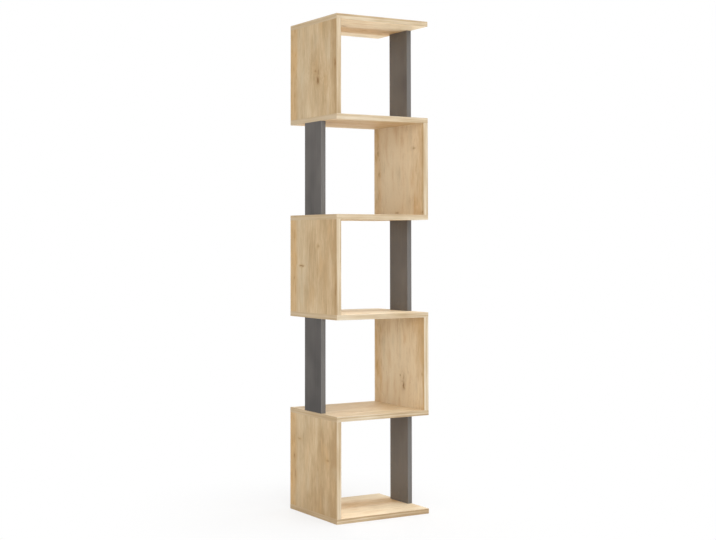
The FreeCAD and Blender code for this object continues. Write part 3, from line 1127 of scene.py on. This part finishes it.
# %% [markdown]
# ## Turned shapes
#
# A bolt, a dowel and a cap are turned shapes: an outline carried up an axis, wider here and narrower
# there. A Screw modifier would do for one of them. Here the axis is a curve whose points carry a radius,
# and Curve to Mesh draws the outline along it.

# %% Helpers for turned shapes
SAME_STATION = 0.1


def picked(recipe, values):
    """The value that belongs to a station's number."""
    sockets = {"Index": recipe.node("GeometryNodeInputIndex")}
    sockets.update({str(number): value for number, value in enumerate(values)})
    return recipe.node("GeometryNodeIndexSwitch", {"data_type": "FLOAT", "items": len(values)}, sockets)


def ring(recipe, sides):
    """A round outline with a radius of 1."""
    return recipe.node("GeometryNodeCurvePrimitiveCircle", {}, {"Resolution": sides, "Radius": 1.0})


def turned(recipe, outline, stations, cut_after=0, cuts=0):
    """Carry an outline up the axis. Every station is a height and a radius."""
    line = recipe.node("GeometryNodeMeshLine", {}, {"Count": len(stations)})
    heights = picked(recipe, [height for height, radius in stations])
    axis = recipe.node("ShaderNodeCombineXYZ", {}, {"Z": heights})
    line = recipe.node("GeometryNodeSetPosition", {}, {"Geometry": line, "Position": axis})
    curve = recipe.node("GeometryNodeMeshToCurve", {}, {"Mesh": line})
    radii = picked(recipe, [radius for height, radius in stations])
    curve = recipe.node("GeometryNodeSetCurveRadius", {}, {"Curve": curve, "Radius": radii})
    if cuts:
        index = recipe.node("GeometryNodeInputIndex")
        here = index.maths("COMPARE", index, cut_after, SAME_STATION) * cuts
        curve = recipe.node("GeometryNodeSubdivideCurve", {}, {"Curve": curve, "Cuts": here})
    scale = recipe.node("GeometryNodeInputRadius")
    sockets = {"Curve": curve, "Profile Curve": outline, "Scale": scale, "Fill Caps": True}
    return recipe.node("GeometryNodeCurveToMesh", {}, sockets)


print("turned shapes are ready")

# %% [markdown]
# ## From a tree to a plain mesh
#
# A live modifier would follow every later change, but a library part has to be a plain mesh that any
# program can read. So each tree runs once on its places, the mesh is kept, and the modifier goes. Sharp
# edges stay sharp and the rest is shaded smooth. The new piece then takes the place of the packed one.

# %% Make a fitting and hand it in
SHARP_EDGE = math.radians(35.0)


def fit(name, recipe, places, material, node):
    """Run a tree on its places, keep the plain mesh, and let it stand for a packed piece."""
    mesh = bpy.data.meshes.new(name)
    mesh.from_pydata([point for point, way in places], [], [])
    ways = mesh.attributes.new("facing", "FLOAT_VECTOR", "POINT")
    ways.data.foreach_set("vector", [part for point, way in places for part in way])
    piece = added(name, mesh)
    modifier = piece.modifiers.new("tree", "NODES")
    modifier.node_group = recipe.tree
    for socket in recipe.tree.interface.items_tree:
        if socket.name == "Finish":
            modifier[socket.identifier] = material
    shown = piece.evaluated_get(bpy.context.evaluated_depsgraph_get())
    made = bpy.data.meshes.new_from_object(shown)
    piece.modifiers.clear()
    piece.data = made
    made.shade_smooth()
    made.set_sharp_from_angle(angle=SHARP_EDGE)
    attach(piece, "root")
    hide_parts(node)
    print(name, "on", len(places), "places:", len(made.polygons), "faces")


print("edges stay sharp from", round(math.degrees(SHARP_EDGE)), "degrees")

# %% [markdown]
# ## Cover caps
#
# A cap is a thin disc with a rounded rim over the hole of a cam. A Bevel modifier could round the rim,
# but a quarter circle of stations is as short. On the panels the cap carries the oak of the face around
# it, on the posts it is anthracite.

# %% Caps
CAP_SIDES = 40
RIM_STEPS = 3

cap_oak, recipe = finish("oak_caps")
skin(recipe, *panel_print(recipe, []), PRINT_RELIEF, PRINT_GLOSS)
cap_dark, recipe = finish("anthracite_caps")
skin(recipe, *post_print(recipe), POST_RELIEF, POST_GLOSS)

caps, size = fitting_tree("cover_cap", {"Radius": 0.009, "Thickness": 0.0005})
radius, thick = size["Radius"], size["Thickness"]
stations = []
for step in range(RIM_STEPS + 1):
    angle = math.pi / 2 * step / RIM_STEPS
    stations.append((thick * math.sin(angle), radius - thick * (1.0 - math.cos(angle))))
set_out(caps, size, turned(caps, ring(caps, CAP_SIDES), stations))
fit("oak_caps", caps, panel_cap_places, cap_oak, "panel_cover_caps")
fit("anthracite_caps", caps, post_cap_places, cap_dark, "post_cover_caps")

# %% [markdown]
# ## The bolt's body
#
# The bolt's lower end cuts into the board with a coarse thread, a collar stops it at the face, and the
# cam grips the head. It could be put together from cylinders, but the steps between them would be loose
# faces. So it is one turned shape, with many rings where the thread will be.

# %% Bolt bodies
BOLT_SIDES = 24
THREAD_STATION = 1
THREAD_RINGS = 36

bolts, size = fitting_tree(
    "cam_bolt",
    {
        "Thread Length": 0.011,
        "Thread Radius": 0.003,
        "Thread Depth": 0.0007,
        "Thread Pitch": 0.0022,
        "Thread Runout": 0.0003,
        "Collar Radius": 0.0039,
        "Collar Height": 0.0025,
        "Stem Radius": 0.003,
        "Stem Top": 0.0164,
        "Neck Radius": 0.002,
        "Neck Top": 0.0201,
        "Head Radius": 0.0035,
        "Head Top": 0.0241,
        "Chamfer": 0.0006,
        "Step": 0.00012,
    },
)
length, chamfer, step = size["Thread Length"], size["Chamfer"], size["Step"]
core = size["Thread Radius"] - size["Thread Depth"]
body = turned(
    bolts,
    ring(bolts, BOLT_SIDES),
    [
        (length * -1.0, core - chamfer),
        (chamfer - length, core),
        (step * -1.0, core),
        (0.0, size["Collar Radius"]),
        (size["Collar Height"], size["Collar Radius"]),
        (size["Collar Height"] + step, size["Stem Radius"]),
        (size["Stem Top"], size["Stem Radius"]),
        (size["Stem Top"] + chamfer, size["Neck Radius"]),
        (size["Neck Top"] - step, size["Neck Radius"]),
        (size["Neck Top"], size["Head Radius"]),
        (size["Head Top"] - chamfer, size["Head Radius"]),
        (size["Head Top"], size["Head Radius"] - chamfer),
    ],
    cut_after=THREAD_STATION,
    cuts=THREAD_RINGS,
)
print("a bolt with", THREAD_RINGS, "rings for its thread")

# %% [markdown]
# ## The bolt's thread
#
# A thread could be modelled turn by turn with a Screw modifier. Here each point of the shank moves
# outwards by a zigzag of its height and its angle, and that winds up the shank by itself.

# %% Bolts
runout = size["Thread Runout"]
x, y, z = three(bolts, bolts.node("GeometryNodeInputPosition"))
winding = z / size["Thread Pitch"] - x.maths("ARCTAN2", y, x) / math.tau
crest = 1.0 - abs(2.0 * winding.maths("FRACT", winding) - 1.0)
threaded = (z < runout * -1.0) * (z > chamfer + runout - length)
grown = 1.0 + threaded * crest * size["Thread Depth"] / core
place = bolts.node("ShaderNodeCombineXYZ", {}, {0: x * grown, 1: y * grown, 2: z})
body = bolts.node("GeometryNodeSetPosition", {}, {"Geometry": body, "Position": place})
set_out(bolts, size, body)
fit("threaded_bolts", bolts, bolt_places, zinc, "cam_bolts")

# %% [markdown]
# ## Dowels
#
# A dowel is a beech rod with shallow flutes that let air and glue escape. They could be cut with twenty
# thin cylinders. A cosine laid around the outline, before it is carried up the axis, gives the same
# grooves.

# %% Dowels
FLUTES = 20
POINTS_PER_FLUTE = 4

dowels, size = fitting_tree(
    "fluted_dowel",
    {"Radius": 0.004, "Below": 0.011, "Above": 0.019, "Chamfer": 0.001, "Flute Depth": 0.00035},
)
radius, below, above, chamfer = size["Radius"], size["Below"], size["Above"], size["Chamfer"]
x, y, z = three(dowels, dowels.node("GeometryNodeInputPosition"))
around = x.maths("COSINE", x.maths("ARCTAN2", y, x) * FLUTES)
drawn_in = 1.0 - (0.5 - 0.5 * around) * size["Flute Depth"] / radius
place = dowels.node("ShaderNodeCombineXYZ", {}, {0: x * drawn_in, 1: y * drawn_in, 2: z})
outline = ring(dowels, POINTS_PER_FLUTE * FLUTES)
outline = dowels.node("GeometryNodeSetPosition", {}, {"Geometry": outline, "Position": place})
rod = turned(
    dowels,
    outline,
    [
        (below * -1.0, radius - chamfer),
        (chamfer - below, radius),
        (above - chamfer, radius),
        (above, radius - chamfer),
    ],
)
set_out(dowels, size, rod)
fit("fluted_dowels", dowels, dowel_places, beech, "dowels")

# %% [markdown]
# ## The sizes
#
# The dressed shelf has to stay as large as the packed one, or the part would no longer fit its record.
